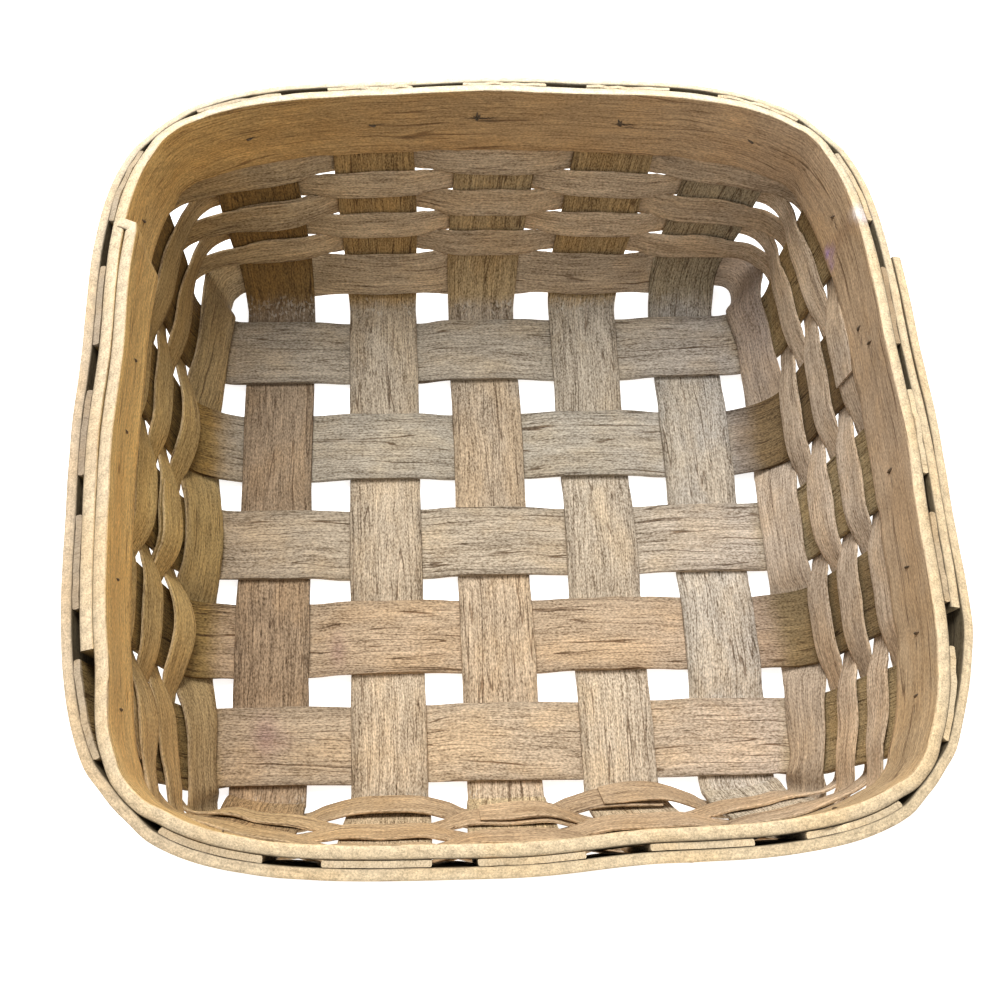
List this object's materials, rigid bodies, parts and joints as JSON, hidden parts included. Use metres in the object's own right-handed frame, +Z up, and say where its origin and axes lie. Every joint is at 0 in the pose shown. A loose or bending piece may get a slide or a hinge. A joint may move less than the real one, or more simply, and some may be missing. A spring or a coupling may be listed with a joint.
{
  "type": "splint basket",
  "caption": "Square open basket of wide wooden splints woven as an open lattice and turned up, with weavers round the flared wall and a double rim band.",
  "frame": {"origin": "middle of the basket's box at its lowest point, on the surface it stands on", "axes": "+Z up out of the basket's mouth, +X to the right and +Y away from the viewer, along the two sets of bottom splints"},
  "size_m": [0.31, 0.3164, 0.097],
  "materials": {
    "bottom_splint": "matte",
    "weaver": "matte",
    "rim_band": "satin",
    "tack": "matte"
  },
  "bodies": {
    "root": {"splint_front_back_1": "bottom_splint", "splint_front_back_2": "bottom_splint", "splint_front_back_3": "bottom_splint", "splint_front_back_4": "bottom_splint", "splint_front_back_5": "bottom_splint", "splint_left_right_1": "bottom_splint", "splint_left_right_2": "bottom_splint", "splint_left_right_3": "bottom_splint", "splint_left_right_4": "bottom_splint", "splint_left_right_5": "bottom_splint", "wide_weaver": "weaver", "narrow_weaver_1": "weaver", "narrow_weaver_2": "weaver", "narrow_weaver_3": "weaver", "narrow_weaver_4": "weaver", "narrow_weaver_5": "weaver", "inner_rim_band": "rim_band", "outer_rim_band": "rim_band", "rim_tack_right_1": "tack", "rim_tack_right_2": "tack", "rim_tack_right_3": "tack", "rim_tack_right_4": "tack", "rim_tack_right_5": "tack", "rim_tack_right_lap_near": "tack", "rim_tack_right_lap_far": "tack", "rim_tack_far_1": "tack", "rim_tack_far_2": "tack", "rim_tack_far_3": "tack", "rim_tack_far_4": "tack", "rim_tack_far_5": "tack", "rim_tack_left_1": "tack", "rim_tack_left_2": "tack", "rim_tack_left_3": "tack", "rim_tack_left_4": "tack", "rim_tack_left_5": "tack", "rim_tack_near_1": "tack", "rim_tack_near_2": "tack", "rim_tack_near_3": "tack", "rim_tack_near_4": "tack", "rim_tack_near_5": "tack"}
  },
  "joints": []
}
